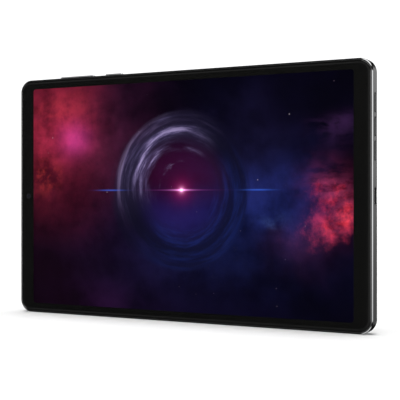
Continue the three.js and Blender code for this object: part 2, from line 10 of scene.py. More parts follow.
import bmesh
import bpy
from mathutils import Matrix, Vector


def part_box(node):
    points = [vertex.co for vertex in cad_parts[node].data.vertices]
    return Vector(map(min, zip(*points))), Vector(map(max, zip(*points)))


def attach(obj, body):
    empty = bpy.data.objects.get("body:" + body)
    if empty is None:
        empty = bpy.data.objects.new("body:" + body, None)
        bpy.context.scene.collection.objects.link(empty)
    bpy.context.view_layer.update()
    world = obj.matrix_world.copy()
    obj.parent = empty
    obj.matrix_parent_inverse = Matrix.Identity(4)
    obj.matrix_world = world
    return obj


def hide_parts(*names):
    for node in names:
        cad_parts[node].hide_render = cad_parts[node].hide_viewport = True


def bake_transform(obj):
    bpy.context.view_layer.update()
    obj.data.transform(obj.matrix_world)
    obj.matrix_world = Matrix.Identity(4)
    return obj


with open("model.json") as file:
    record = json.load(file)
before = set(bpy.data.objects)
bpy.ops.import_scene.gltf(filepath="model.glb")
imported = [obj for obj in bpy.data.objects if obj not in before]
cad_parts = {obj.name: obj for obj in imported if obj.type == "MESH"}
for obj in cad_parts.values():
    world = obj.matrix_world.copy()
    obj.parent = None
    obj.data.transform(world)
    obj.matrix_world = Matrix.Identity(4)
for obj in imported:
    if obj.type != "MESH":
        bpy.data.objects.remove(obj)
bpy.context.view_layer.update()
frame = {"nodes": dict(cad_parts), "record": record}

MM = 0.001


def span(node):
    """A CAD node's lowest and highest corner, in millimetres."""
    low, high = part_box(node)
    return [v / MM for v in low], [v / MM for v in high]


# ---- Sizes, from the frame ----
FRONT_Y = span("cover_glass")[0][1]
BACK_Y = span("housing_centre")[1][1]
EDGE_X = span("housing_end_right")[1][0]
TOP_Z = span("housing_centre")[1][2]
MID_Z = TOP_Z / 2
THICK = BACK_Y - FRONT_Y
CORNER_R = 7.0
SHOULDER_IN = 0.75
SHOULDER_D = 1.3
RIM_D = 0.25
BACK_ROUND = 2.3
SEAT_IN = 1.0
SEAT_D = 0.95
WALL = 3.0
FLOOR_D = 6.9
FINE = 20  # points in each quarter of a rounded corner

BODY = "tablet_body"


# ---- Mesh helpers ----
def rounded(u0, v0, u1, v1, r, steps=FINE):
    """A rounded rectangle as (u, v) points, anticlockwise."""
    centres = ((u1 - r, v0 + r, -90), (u1 - r, v1 - r, 0), (u0 + r, v1 - r, 90), (u0 + r, v0 + r, 180))
    points = []
    for cu, cv, start in centres:
        for i in range(steps + 1):
            a = math.radians(start + 90 * i / steps)
            points.append((cu + r * math.cos(a), cv + r * math.sin(a)))
    return points


def around(u, v, du, dv, r, steps=FINE):
    """A rounded rectangle about its middle."""
    r = min(r, du / 2 - 1e-3, dv / 2 - 1e-3)
    return rounded(u - du / 2, v - dv / 2, u + du / 2, v + dv / 2, r, steps)


def tablet_outline(inset, steps=FINE):
    return rounded(-EDGE_X + inset, inset, EDGE_X - inset, TOP_Z - inset, CORNER_R - inset, steps)


def at_depth(points, d):
    """(x, z) points at a depth."""
    return [(u, FRONT_Y + d, v) for u, v in points]


def at_x(points, x):
    """(y, z) points at one x."""
    return [(x, u, v) for u, v in points]


def at_z(points, z):
    """(x, y) points at one height."""
    return [(u, v, z) for u, v in points]


def arc(steps, start=0, end=90):
    """Angles in radians from start to end degrees."""
    return [math.radians(start + (end - start) * i / steps) for i in range(steps + 1)]


def mesh(name, points, faces):
    """A new object from points in millimetres, with its faces turned outwards."""
    data = bpy.data.meshes.new(name)
    data.from_pydata([[c * MM for c in p] for p in points], [], faces)
    bm = bmesh.new()
    bm.from_mesh(data)
    bmesh.ops.remove_doubles(bm, verts=bm.verts, dist=1e-7)
    bmesh.ops.dissolve_degenerate(bm, edges=bm.edges, dist=1e-7)
    bmesh.ops.recalc_face_normals(bm, faces=bm.faces)
    bm.to_mesh(data)
    bm.free()
    piece = bpy.data.objects.new(name, data)
    bpy.context.scene.collection.objects.link(piece)
    return piece


def skin(name, rings):
    """A closed body over rings of points, with its first and last ring filled."""
    n = len(rings[0])
    faces = [[*range(n)][::-1], [(len(rings) - 1) * n + j for j in range(n)]]
    for i in range(len(rings) - 1):
        for j in range(n):
            k = (j + 1) % n
            faces.append([i * n + j, i * n + k, (i + 1) * n + k, (i + 1) * n + j])
    return mesh(name, [p for ring in rings for p in ring], faces)


def block(name, x0, x1, d0, d1, z0, z1, r=0.1, chamfer=0.0):
    """A plate from depth d0 to d1 with rounded upright corners, and its front and back edges broken."""
    c = chamfer or min(0.12, (d1 - d0) / 4)
    rings = [
        at_depth(rounded(x0 + i, z0 + i, x1 - i, z1 - i, max(r - i, 0.02), 5), d)
        for i, d in ((c, d0), (0, d0 + c), (0, d1 - c), (c, d1))
    ]
    return skin(name, rings)


def lathe(name, x, z, profile, steps=48):
    """A turned body about the thickness direction, from (radius, depth) points."""
    circle = [(math.cos(2 * math.pi * i / steps), math.sin(2 * math.pi * i / steps)) for i in range(steps)]
    rings = [at_depth([(x + r * c, z + r * s) for c, s in circle], d) for r, d in profile]
    return skin(name, rings)


def settle(piece):
    """Puts the modifiers' result into the piece's own mesh."""
    depsgraph = bpy.context.evaluated_depsgraph_get()
    data = bpy.data.meshes.new_from_object(piece.evaluated_get(depsgraph))
    piece.modifiers.clear()
    piece.data = data


def combine(piece, operation, tools):
    """Joins, cuts or crosses a piece with tool bodies, which are used up."""
    for tool in tools:
        step = piece.modifiers.new("combine", "BOOLEAN")
        step.operation = operation
        step.solver = "EXACT"
        step.object = tool
    bpy.context.view_layer.update()
    settle(piece)
    for tool in tools:
        bpy.data.objects.remove(tool)
    return piece


def cut(piece, *tools):
    return combine(piece, "DIFFERENCE", tools)


def join(piece, *tools):
    return combine(piece, "UNION", tools)


def merged(name, parts):
    """One piece from several separate bodies."""
    bm = bmesh.new()
    for part in parts:
        bm.from_mesh(part.data)
        bpy.data.objects.remove(part)
    data = bpy.data.meshes.new(name)
    bm.to_mesh(data)
    bm.free()
    piece = bpy.data.objects.new(name, data)
    bpy.context.scene.collection.objects.link(piece)
    return piece


def shade(piece, angle=32):
    """Smooth curves, crisp edges, and flat faces that stay flat."""
    for polygon in piece.data.polygons:
        polygon.use_smooth = True
    piece.data.set_sharp_from_angle(angle=math.radians(angle))
    weighted = piece.modifiers.new("flat faces stay flat", "WEIGHTED_NORMAL")
    weighted.keep_sharp = True
    weighted.weight = 100
    settle(piece)


def place(piece, material, body=BODY, replaces=()):
    """Finishes a piece: shading, material, the body it rides on if it has one and the CAD nodes it stands for."""
    shade(piece)
    piece.data.materials.clear()
    for one in material if isinstance(material, list) else [material]:
        piece.data.materials.append(one)
    if body:
        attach(piece, body)
    if replaces:
        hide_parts(*replaces)
    return piece


# ---- Shader helpers ----
class Maths:
    """A number in a node tree, so that a pattern reads as arithmetic."""

    def __init__(self, tree, socket):
        self.tree = tree
        self.socket = socket

    def do(self, operation, *others, clamp=False):
        node = self.tree.nodes.new("ShaderNodeMath")
        node.operation = operation
        node.use_clamp = clamp
        for socket, value in zip(node.inputs, (self, *others)):
            if isinstance(value, Maths):
                self.tree.links.new(value.socket, socket)
            else:
                socket.default_value = value
        return Maths(self.tree, node.outputs[0])

    def __add__(self, other):
        return self.do("ADD", other)

    def __sub__(self, other):
        return self.do("SUBTRACT", other)

    def __mul__(self, other):
        return self.do("MULTIPLY", other)

    def __truediv__(self, other):
        return self.do("DIVIDE", other)

    def __pow__(self, other):
        return self.do("POWER", other)

    def __neg__(self):
        return self * -1.0

    def abs(self):
        return self.do("ABSOLUTE")

    def exp(self):
        return self.do("EXPONENT")

    def above(self, low, high):
        """0 up to low, 1 from high, and smooth between them."""
        node = self.tree.nodes.new("ShaderNodeMapRange")
        node.interpolation_type = "SMOOTHSTEP"
        self.tree.links.new(self.socket, node.inputs["Value"])
        node.inputs["From Min"].default_value = min(low, high)
        node.inputs["From Max"].default_value = max(low, high)
        node.inputs["To Min"].default_value = 0.0 if low < high else 1.0
        node.inputs["To Max"].default_value = 1.0 if low < high else 0.0
        return Maths(self.tree, node.outputs["Result"])

    def near(self, middle, width):
        """1 at middle, falling to nothing over about width on each side."""
        offset = (self - middle) * (1.0 / width)
        return (-(offset * offset)).exp()


def position(tree):
    """The object's own coordinates in millimetres: the vector and its three numbers."""
    coordinates = tree.nodes.new("ShaderNodeTexCoord")
    scale = tree.nodes.new("ShaderNodeVectorMath")
    scale.operation = "SCALE"
    scale.inputs["Scale"].default_value = 1 / MM
    tree.links.new(coordinates.outputs["Object"], scale.inputs[0])
    parts = tree.nodes.new("ShaderNodeSeparateXYZ")
    tree.links.new(scale.outputs[0], parts.inputs[0])
    return scale.outputs[0], [Maths(tree, s) for s in parts.outputs]


def noise(tree, vector, size, detail=3.0, shift=0.0, roughness=0.5, stretch=(1, 1, 1)):
    """Soft noise with features of about a size in millimetres."""
    mapping = tree.nodes.new("ShaderNodeMapping")
    mapping.inputs["Scale"].default_value = [s / size for s in stretch]
    mapping.inputs["Location"].default_value = (shift, shift * 0.7, -shift)
    tree.links.new(vector, mapping.inputs["Vector"])
    node = tree.nodes.new("ShaderNodeTexNoise")
    node.inputs["Scale"].default_value = 1.0
    node.inputs["Detail"].default_value = detail
    node.inputs["Roughness"].default_value = roughness
    tree.links.new(mapping.outputs[0], node.inputs["Vector"])
    return Maths(tree, node.outputs["Fac"])


def cells(tree, vector, size, output="Distance", randomness=1.0, metric="EUCLIDEAN"):
    """Voronoi cells of about a size in millimetres."""
    mapping = tree.nodes.new("ShaderNodeMapping")
    mapping.inputs["Scale"].default_value = [1 / size] * 3
    tree.links.new(vector, mapping.inputs["Vector"])
    node = tree.nodes.new("ShaderNodeTexVoronoi")
    node.distance = metric
    node.inputs["Scale"].default_value = 1.0
    node.inputs["Randomness"].default_value = randomness
    tree.links.new(mapping.outputs[0], node.inputs["Vector"])
    return node.outputs[output]


def mix(tree, factor, first, second):
    """A colour between two, each a constant or a socket."""
    node = tree.nodes.new("ShaderNodeMix")
    node.data_type = "RGBA"
    tree.links.new(factor.socket, node.inputs["Factor"])
    for socket, colour in ((node.inputs[6], first), (node.inputs[7], second)):
        if isinstance(colour, (tuple, list)):
            socket.default_value = (*colour[:3], 1.0)
        else:
            tree.links.new(colour, socket)
    return node.outputs[2]


def lights_added(tree, layers):
    """The sum of the panel's black level and of colours, each times its own mask."""
    total = None
    for colour, mask in layers:
        node = tree.nodes.new("ShaderNodeVectorMath")
        node.operation = "MULTIPLY_ADD"
        node.inputs[0].default_value = colour
        tree.links.new(mask.socket, node.inputs[1])
        if total is None:
            node.inputs[2].default_value = BLACK_LEVEL
        else:
            tree.links.new(total, node.inputs[2])
        total = node.outputs[0]
    return total


def new_material(name, **values):
    """A Principled material with constants on its own sockets: (material, tree, shader)."""
    made = bpy.data.materials.new(name)
    made.use_nodes = True
    tree = made.node_tree
    shader = next(n for n in tree.nodes if n.type == "BSDF_PRINCIPLED")
    for key, value in values.items():
        socket = shader.inputs[key.replace("_", " ")]
        socket.default_value = (*value, 1.0) if isinstance(value, tuple) else value
    return made, tree, shader


def bump(tree, shader, height, distance, strength=1.0):
    """Relief from a height pattern, with its full depth in millimetres."""
    node = tree.nodes.new("ShaderNodeBump")
    node.inputs["Distance"].default_value = distance * MM
    node.inputs["Strength"].default_value = strength
    tree.links.new(height.socket, node.inputs["Height"])
    tree.links.new(node.outputs[0], shader.inputs["Normal"])


def grained(name, colour, rough, metal=0.0, grain=0.3, depth=0.004, spread=0.16, stretch=(1, 1, 1), **values):
    """A plain moulded, painted or metal surface: broad changes of tone, uneven gloss and a fine grain."""
    made, tree, shader = new_material(name, Metallic=metal, **values)
    vector, _ = position(tree)
    broad = noise(tree, vector, 14, detail=4, shift=3.1)
    fine = noise(tree, vector, grain, detail=2, shift=7.7, stretch=stretch)
    tone = broad * 0.6 + fine * 0.4
    darker = [c * (1 - spread) for c in colour]
    lighter = [min(1.0, c * (1 + spread)) for c in colour]
    tree.links.new(mix(tree, tone.above(0.3, 0.7), darker, lighter), shader.inputs["Base Color"])
    gloss = (noise(tree, vector, 6, detail=5, shift=1.9) - 0.5) * (rough * 0.5) + (fine - 0.5) * (rough * 0.3) + rough
    tree.links.new(gloss.socket, shader.inputs["Roughness"])
    bump(tree, shader, fine, depth)
    return made


# ---- Screen ----
ACTIVE_W, ACTIVE_H, ACTIVE_R = 189.8, 119.2, 1.5
FLARE_X, FLARE_Z = 0.7, 3.1
DUST_IN, DUST_OUT = 21, 39
BLACK_LEVEL = (0.0003, 0.0002, 0.0006)  # what a lit panel still lets through where its picture is black


def puff(x, z, middle, size, tilt=0):
    """A soft oval spot, turned by a number of degrees."""
    cos, sin = math.cos(math.radians(tilt)), math.sin(math.radians(tilt))
    dx = x - middle[0]
    dz = z - middle[1]
    along = (dx * cos + dz * sin) / size[0]
    across = (dz * cos - dx * sin) / size[1]
    return (-(along * along + across * across)).exp()


def sky(tree, vector, x, z):
    """Gas clouds: crimson and pink on the left, a bright red one on the right, and deep blue between."""
    billow = noise(tree, vector, 30, detail=3, shift=2.0) - 0.5
    curl = noise(tree, vector, 30, detail=3, shift=9.0) - 0.5
    wx = x + billow * 30
    wz = z + curl * 30
    soft = noise(tree, vector, 24, detail=8, shift=4.4, roughness=0.6)
    fine = noise(tree, vector, 7, detail=9, shift=6.3, roughness=0.66)
    streaky = (noise(tree, vector, 12, detail=7, shift=12.1, roughness=0.6, stretch=(0.6, 1, 1.5)) * 2 - 1).abs()
    haze = soft.above(0.3, 0.7)
    wisps = (soft * 0.4 + fine * 0.6).above(0.42, 0.62)
    threads = streaky.above(0.3, 0.02)
    fold = puff(wx, wz, (89, -12), (21, 12), 32) + puff(wx, wz, (80, 4), (13, 9)) * 0.8
    edge = fold * 1.1 + (fine - 0.5) * 1.1 + (soft - 0.5) * 0.9
    cloud = edge.above(0.25, 1.0) * fold.above(0.05, 0.3)
    core = edge.above(0.8, 1.5) * (threads * 0.5 + 0.5)
    left = x.above(-34, -80) * (z + x * 0.12).above(-44, 34)
    return [
        ((0.0012, 0.0007, 0.0055), (haze * 0.5 + 0.5) * (x.above(-100, -25) * 0.6 + 0.4)),
        ((0.0035, 0.0002, 0.001), x.above(-20, -80) * z.above(-10, -45)),
        ((0.013, 0.002, 0.008), x.above(20, -55) * (z + 60).above(0, 70) * (haze * 0.7 + 0.3)),
        ((0.155, 0.008, 0.016), left * (haze * 0.7 + wisps * 0.15 + 0.25)),
        ((0.05, 0.003, 0.012), left * threads * (fine * 0.8 + 0.2)),
        ((0.12, 0.01, 0.006), puff(wx, wz, (-76, 49), (16, 8)) * (wisps * 0.9 + 0.15)),
        ((0.14, 0.008, 0.014), puff(wx, wz, (-92, 28), (12, 20)) * (haze * 0.4 + wisps * 0.3 + 0.3)),
        ((0.24, 0.022, 0.012), puff(wx, wz, (-86, 10), (10, 8)) * wisps),
        ((0.21, 0.012, 0.036), puff(wx, wz, (-74, 36), (20, 15)) * (haze * 0.4 + wisps * 0.4 + 0.25)),
        ((0.36, 0.03, 0.19), puff(x + billow * 8, z + curl * 8, (-66.5, 31), (9, 8)) * (haze * 0.5 + 0.5)),
        ((0.055, 0.009, 0.027), puff(wx, wz, (-43, 33), (16, 24)) * (haze * 0.7 + 0.3)),
        ((0.011, 0.019, 0.13), puff(wx, wz, (52, -2), (22, 18)) * (haze * 0.8 + 0.25)),
        ((0.02, 0.04, 0.1), puff(wx, wz, (54, -12), (6, 5)) * wisps),
        ((0.003, 0.007, 0.04), puff(x, z, (20, -24), (56, 26)) * (haze * 0.7 + 0.3)),
        ((0.0065, 0.0055, 0.024), puff(wx, wz, (36, 24), (28, 26)) * (haze * 0.7 + 0.4)),
        ((0.012, 0.002, 0.014), puff(x, z, (-46, -58), (26, 12)) * haze),
        ((0.0032, 0.0013, 0.0065), puff(x, z, (-18, -44), (62, 30)) * (haze * 0.6 + 0.6)),
        ((0.045, 0.004, 0.014), fold * (haze * 0.6 + 0.4)),
        ((0.03, 0.006, 0.018), puff(wx, wz, (64, -23), (15, 10)) * (wisps * 0.6 + 0.4)),
        ((0.34, 0.011, 0.024), cloud * (wisps * 0.75 + 0.25)),
        ((0.06, 0.012, 0.032), cloud * threads),
        ((0.7, 0.045, 0.035), core * (wisps * 0.8 + 0.2)),
        ((0.15, 0.016, 0.05), puff(wx, wz, (77, 8), (11, 7)) * (threads * 0.7 + haze * 0.4)),
        ((0.03, 0.01, 0.045), puff(wx, wz, (87, 31), (11, 7)) * (threads * 0.8 + wisps * 0.4)),
    ]


def stars(tree, vector, size, share, radius):
    """Small stars, in cells of a size of which only a share holds one."""
    centre = Maths(tree, cells(tree, vector, size))
    tint = tree.nodes.new("ShaderNodeSeparateColor")
    tree.links.new(cells(tree, vector, size, output="Color"), tint.inputs[0])
    chosen = Maths(tree, tint.outputs[0]).above(1 - share, 1 - share + 0.01)
    return centre.above(radius / size, 0.4 * radius / size) * chosen * (Maths(tree, tint.outputs[1]) * 0.8 + 0.2)


def dust_layers(tree, x, z, radius):
    """A ragged belt of dust round the star, swept along its turn and lit from the upper left: layers and mask."""
    swept = tree.nodes.new("ShaderNodeCombineXYZ")
    for part, value in zip("XYZ", (x / radius * 10, radius * 2.6, z / radius * 10)):
        tree.links.new(value.socket, swept.inputs[part])
    lanes = noise(tree, swept.outputs[0], 11, detail=9, shift=3.1, roughness=0.62)
    drift = noise(tree, swept.outputs[0], 22, detail=5, shift=8.2)
    ragged = radius + (drift - 0.5) * 30 + (lanes - 0.5) * 14
    dust = ragged.above(DUST_IN - 3, DUST_IN + 5) * ragged.above(DUST_OUT + 5, DUST_OUT - 7)
    side = (z * 0.78 - x * 0.62) / radius
    lit = side.above(-0.1, 1.0) ** 1.6
    far = side.above(0.2, -0.9)
    bright = lanes.above(0.42, 0.66)
    layers = [
        ((0.004, 0.0035, 0.013), dust),
        ((0.11, 0.085, 0.2), dust * lit * (bright * 0.85 + 0.15)),
        ((0.32, 0.26, 0.42), dust * lit * lit * lanes.above(0.52, 0.72)),
        ((0.005, 0.013, 0.09), dust * far * (bright * 0.85 + 0.15)),
    ]
    return layers, dust


def flare_layers(x, z, radius):
    """The glow inside the belt of dust, with a star and its long thin streak."""
    dx = x - FLARE_X
    dz = z - FLARE_Z
    distance = (dx * dx + dz * dz) ** 0.5
    hole = radius.above(DUST_IN + 11, DUST_IN - 7)
    star = (-(distance * 1.5)).exp()
    halo = (-(distance * 0.36)).exp()
    glint = dz.near(0, 0.45) * (-(dx.abs() * 0.45)).exp()
    streak = dz.near(0, 0.28) * (-(dx.abs() * 0.16)).exp()
    far = dz.near(0, 0.35) * dx.abs().near(44, 7)
    return [
        ((0.026, 0.0012, 0.016), hole * dz.above(-12, 9)),
        ((0.01, 0.005, 0.06), hole * dz.above(6, -16)),
        ((0.4, 0.006, 0.12), halo * hole),
        ((2.4, 1.2, 2.0), star),
        ((2.0, 0.8, 1.7), glint),
        ((0.5, 0.08, 0.5), streak),
        ((0.02, 0.08, 0.45), far),
    ]


def screen_material():
    """A lit panel: its picture is a cloudy night sky, with a star in a belt of dust."""
    made, tree, shader = new_material(
        "screen_picture", Base_Color=(0.0005, 0.0005, 0.0008), Roughness=0.3, Specular_IOR_Level=0.05
    )
    vector, (x, _, height) = position(tree)
    z = height - MID_Z
    radius = ((x - FLARE_X) ** 2 + (z - FLARE_Z) ** 2) ** 0.5 + 0.01
    dust, covered = dust_layers(tree, x - FLARE_X, z - FLARE_Z, radius)
    clear = covered * -0.9 + 1.0
    layers = [(colour, mask * clear) for colour, mask in sky(tree, vector, x, z)]
    layers.append(((0.5, 0.42, 0.5), stars(tree, vector, 9.0, 0.2, 0.4) * clear))
    layers.append(((0.3, 0.22, 0.3), stars(tree, vector, 5.0, 0.16, 0.3) * clear))
    layers += dust + flare_layers(x, z, radius)
    shown = lights_added(tree, layers)
    out_x = (x.abs() - (ACTIVE_W / 2 + 1)).above(0, -0.1)
    out_z = (z.abs() - (ACTIVE_H / 2 + 1)).above(0, -0.1)
    masked = tree.nodes.new("ShaderNodeVectorMath")
    masked.operation = "SCALE"
    tree.links.new(shown, masked.inputs[0])
    tree.links.new((out_x * out_z).socket, masked.inputs["Scale"])
    tree.links.new(masked.outputs[0], shader.inputs["Emission Color"])
    shader.inputs["Emission Strength"].default_value = 1.0
    return made


def clear_glass(name, tint, mirror, coating=0.0):
    """Thin glass: what is behind it shows through, under a faint reflection, less what its coating takes away."""
    made = bpy.data.materials.new(name)
    made.use_nodes = True
    tree = made.node_tree
    tree.nodes.clear()
    out = tree.nodes.new("ShaderNodeOutputMaterial")
    through = tree.nodes.new("ShaderNodeBsdfTransparent")
    through.inputs["Color"].default_value = (*tint, 1.0)
    gloss = tree.nodes.new("ShaderNodeBsdfGlossy")
    vector, _ = position(tree)
    smear = noise(tree, vector, 12, detail=5, shift=5.0) * 0.05 + 0.01
    tree.links.new(smear.socket, gloss.inputs["Roughness"])
    fresnel = tree.nodes.new("ShaderNodeFresnel")
    fresnel.inputs["IOR"].default_value = 1.5
    share = (Maths(tree, fresnel.outputs[0]) - coating).do("MAXIMUM", 0.0) * mirror
    both = tree.nodes.new("ShaderNodeMixShader")
    tree.links.new(share.socket, both.inputs[0])
    tree.links.new(through.outputs[0], both.inputs[1])
    tree.links.new(gloss.outputs[0], both.inputs[2])
    tree.links.new(both.outputs[0], out.inputs["Surface"])
    return made


def border_glass():
    """The black print behind the glass, with the front camera's small window in it."""
    made, tree, shader = new_material("glass_black_border")
    vector, (x, _, height) = position(tree)
    camera_x = sum(side[0] for side in span("front_camera_module")) / 2 + 0.2
    dx = x - camera_x
    dz = height - MID_Z
    off = (dx * dx + dz * dz) ** 0.5
    ring = off.near(1.15, 0.22)
    pupil = off.above(0.8, 0.3)
    base = (0.0062, 0.0062, 0.006)
    with_ring = mix(tree, ring, base, (0.028, 0.028, 0.032))
    tree.links.new(mix(tree, pupil, with_ring, (0.012, 0.013, 0.026)), shader.inputs["Base Color"])
    smear = noise(tree, vector, 12, detail=5, shift=5.0) * 0.08 + 0.03
    tree.links.new(smear.socket, shader.inputs["Roughness"])
    return made


# ---- Materials ----
def anodised(name, colour, rough):
    """Blasted and anodised aluminium: a fine even grain, slightly uneven gloss."""
    return grained(name, colour, rough, metal=1.0, grain=0.12, depth=0.0006, spread=0.05)


METAL = anodised("dark_polished_metal", (0.192, 0.193, 0.195), 0.1)
BACK_METAL = anodised("dark_satin_metal", (0.2, 0.202, 0.206), 0.34)
# Near black for the walls of the slots, ports and cavity: painted shade, standing in for the shade inside them.
INSIDE_PAINTED_SHADE = grained("inner_walls_painted_shade", (0.012, 0.012, 0.013), 0.55, grain=0.3, depth=0.002)
# Light grey, far lighter than the housing metal: painted light, standing in for the light the keys' tops catch.
KEY_PAINTED_LIGHT = grained("key_metal_painted_light", (0.52, 0.525, 0.535), 0.4, metal=0.4, grain=0.12, depth=0.0006, spread=0.05)
BAND = grained("band_plastic", (0.014, 0.0145, 0.016), 0.5, grain=0.2, depth=0.002)
SCREEN = screen_material()
BORDER = border_glass()
WINDOW = clear_glass("glass_window", (0.98, 0.98, 0.985), 0.3, coating=0.05)
LENS = clear_glass("camera_lens_glass", (0.6, 0.62, 0.7), 1.0)
BLACK = grained("black_moulding", (0.012, 0.012, 0.013), 0.5, grain=0.25, depth=0.003)
ADHESIVE = grained("black_foam_tape", (0.01, 0.01, 0.01), 0.85, grain=0.12, depth=0.01)
FILM = grained("white_diffuser_film", (0.78, 0.8, 0.83), 0.35, grain=0.5, depth=0.001, spread=0.03)
STEEL = grained("pressed_steel", (0.55, 0.55, 0.54), 0.3, metal=1.0, grain=0.1, depth=0.001, stretch=(0.08, 1, 1))
FRAME_METAL = grained("cast_magnesium", (0.36, 0.37, 0.38), 0.5, metal=1.0, grain=0.25, depth=0.004)
FOIL = grained("pouch_foil", (0.02, 0.021, 0.025), 0.38, grain=0.9, depth=0.01)
FLEX = grained("polyimide_film", (0.3, 0.1, 0.012), 0.32, grain=0.4, depth=0.001, spread=0.22)
GRAPHITE = grained("graphite_film", (0.028, 0.028, 0.03), 0.42, grain=0.15, depth=0.002)
RUBBER = grained("seal_rubber", (0.012, 0.012, 0.012), 0.8, grain=0.08, depth=0.003)
TUNGSTEN = grained("sintered_tungsten", (0.2, 0.2, 0.205), 0.4, metal=1.0, grain=0.08, depth=0.002)
CHIP = grained("chip_package", (0.018, 0.018, 0.02), 0.6, grain=0.1, depth=0.002)
CERAMIC = grained("capacitor_ceramic", (0.42, 0.3, 0.17), 0.4, grain=0.1, depth=0.001)
GOLD = grained("gold_plate", (0.85, 0.58, 0.22), 0.25, metal=1.0, grain=0.1, depth=0.0005)


def board_material():
    """Solder mask over patches of copper tracks that run across or along the board, and rows of pads."""
    made, tree, shader = new_material("solder_mask_board", Roughness=0.4)
    vector, (x, _, z) = position(tree)
    patch = tree.nodes.new("ShaderNodeSeparateColor")
    tree.links.new(cells(tree, vector, 7.0, output="Color", metric="CHEBYCHEV"), patch.inputs[0])
    turned, used, dotted = (Maths(tree, socket) for socket in patch.outputs)
    turned = turned.above(0.5, 0.51)
    across = (x * 9.5).do("SINE") * turned
    along = (z * 9.5).do("SINE") * (turned * -1.0 + 1.0)
    tracks = (across + along).above(0.2, 0.5) * used.above(0.35, 0.36)
    pads = Maths(tree, cells(tree, vector, 1.0, randomness=0.0)).above(0.26, 0.22) * dotted.above(0.8, 0.81)
    mask = mix(tree, tracks, (0.006, 0.035, 0.02), (0.014, 0.085, 0.045))
    tree.links.new(mix(tree, pads * 0.8, mask, (0.45, 0.36, 0.16)), shader.inputs["Base Color"])
    tree.links.new((tracks * -0.08 + 0.42).socket, shader.inputs["Roughness"])
    bump(tree, shader, tracks, 0.02)
    return made


BOARD = board_material()


def cloth_material():
    """A woven dust mesh: round holes in rows."""
    made, tree, shader = new_material("speaker_dust_mesh", Metallic=0.0, Specular_IOR_Level=0.15)
    _, (x, y, z) = position(tree)
    rows = (y * 21).do("SINE") * (z * 21).do("SINE")
    tree.links.new(mix(tree, rows.above(0.1, 0.5), (0.03, 0.03, 0.032), (0.001, 0.001, 0.001)), shader.inputs["Base Color"])
    tree.links.new((rows * 0.2 + 0.6).socket, shader.inputs["Roughness"])
    bump(tree, shader, rows, -0.06)
    return made


CLOTH = cloth_material()


def lamp_material():
    """A moulded flash lens: fine rings over yellow phosphor."""
    made, tree, shader = new_material("flash_lens", Coat_Weight=0.6, Coat_Roughness=0.08)
    _, (x, _, z) = position(tree)
    low, high = span("flash_lamp")
    dx = x - (low[0] + high[0]) / 2
    dz = z - (low[2] + high[2]) / 2
    radius = (dx * dx + dz * dz) ** 0.5
    grooves = (radius * 26).do("SINE")
    glow = radius.above(1.1, 0.5)
    tree.links.new(mix(tree, glow, (0.72, 0.7, 0.62), (0.85, 0.62, 0.16)), shader.inputs["Base Color"])
    tree.links.new((grooves * 0.08 + 0.25).socket, shader.inputs["Roughness"])
    bump(tree, shader, grooves, 0.03)
    return made


LAMP = lamp_material()

SLOT_MATERIALS = {
    "body_metal": METAL,
    "key_metal": KEY_PAINTED_LIGHT,
    "band_plastic": BAND,
    "black_adhesive": ADHESIVE,
    "black_plastic": BLACK,
    "grille_cloth": CLOTH,
    "white_film": FILM,
    "pressed_steel": STEEL,
    "frame_metal": FRAME_METAL,
    "battery_foil": FOIL,
    "circuit_board": BOARD,
    "flex_film": FLEX,
    "graphite": GRAPHITE,
    "seal_rubber": RUBBER,
    "weight_metal": TUNGSTEN,
    "chip_package": CHIP,
    "lamp_lens": LAMP,
    "lens_glass": LENS,
    "display_panel": SCREEN,
    "cover_glass": BORDER,
}
for entry in frame["record"]["subparts"]:
    node = frame["nodes"][entry["node"]]
    node.data.materials.clear()
    node.data.materials.append(SLOT_MATERIALS[entry["material_slot"]])


# ---- Housing ----
KEY_D = 3.3
KEY_W = 2.2
KEY_GAP = 0.15
SLOT_D = 3.3
SLOT_L, SLOT_W, SLOT_PITCH, SLOT_MID = 9.8, 2.0, 11.3, 32.5
USB_D = 3.7
USB_L, USB_W = 8.94, 3.26
MOUTH_L, MOUTH_W, MOUTH_T = 8.6, 2.8, 0.8
CARD_D = 3.55
FACE_L, FACE_W, FACE_T = 20.0, 1.9, 1.2
FACE_Z = sum(side[2] for side in span("card_tray")) / 2
PIN_Z = FACE_Z + 7.1
SEAM = 0.05
BAND_X, BAND_W = 90.0, 1.4
POST_R, POST_D = 1.6, 3.55
SCREWS = [f"mid_frame_screw_{i}" for i in (1, 2, 3, 4)]
PORT_GAP = 0.17


def middle(node):
    """The x and z of a CAD node's middle."""
    low, high = span(node)
    return (low[0] + high[0]) / 2, (low[2] + high[2]) / 2


def shell():
    """The whole housing as one cup, from the floor of its cavity round the rim to its back."""
    inner = [(WALL, FLOOR_D), (WALL, SEAT_D), (SEAT_IN, SEAT_D), (SEAT_IN, RIM_D + 0.06), (SEAT_IN - 0.05, RIM_D)]
    shoulder = [(SHOULDER_IN * (1 - math.sin(a)), SHOULDER_D - (SHOULDER_D - RIM_D) * math.cos(a)) for a in arc(9)]
    back = [(BACK_ROUND * (1 - math.cos(a)), THICK - BACK_ROUND * (1 - math.sin(a))) for a in arc(12)]
    return skin("shell", [at_depth(tablet_outline(inset), d) for inset, d in inner + shoulder + back])


def slab(x0, x1):
    return skin("slab", [at_x(rounded(-20, -20, 20, TOP_Z + 20, 1, 2), x) for x in (x0, x1)])


def flared(points_at, axis, inner, outer, side, chamfer=0.25, beyond=1.0):
    """A cutter for an opening whose mouth, at the wall's outer face, has a small chamfer. points_at(grow) is its outline."""
    stops = [(0, inner), (0, outer - side * chamfer), (chamfer, outer), (chamfer, outer + side * beyond)]
    return skin("opening", [axis(points_at(grow), w) for grow, w in stops])


def post(node):
    x, z = middle(node)
    return lathe("post", x, z, [(POST_R, POST_D), (POST_R, FLOOR_D + 0.2)], 32)


def post_hole(node):
    x, z = middle(node)
    return lathe("hole", x, z, [(0.65, POST_D - 0.5), (0.65, 5.9)], 24)


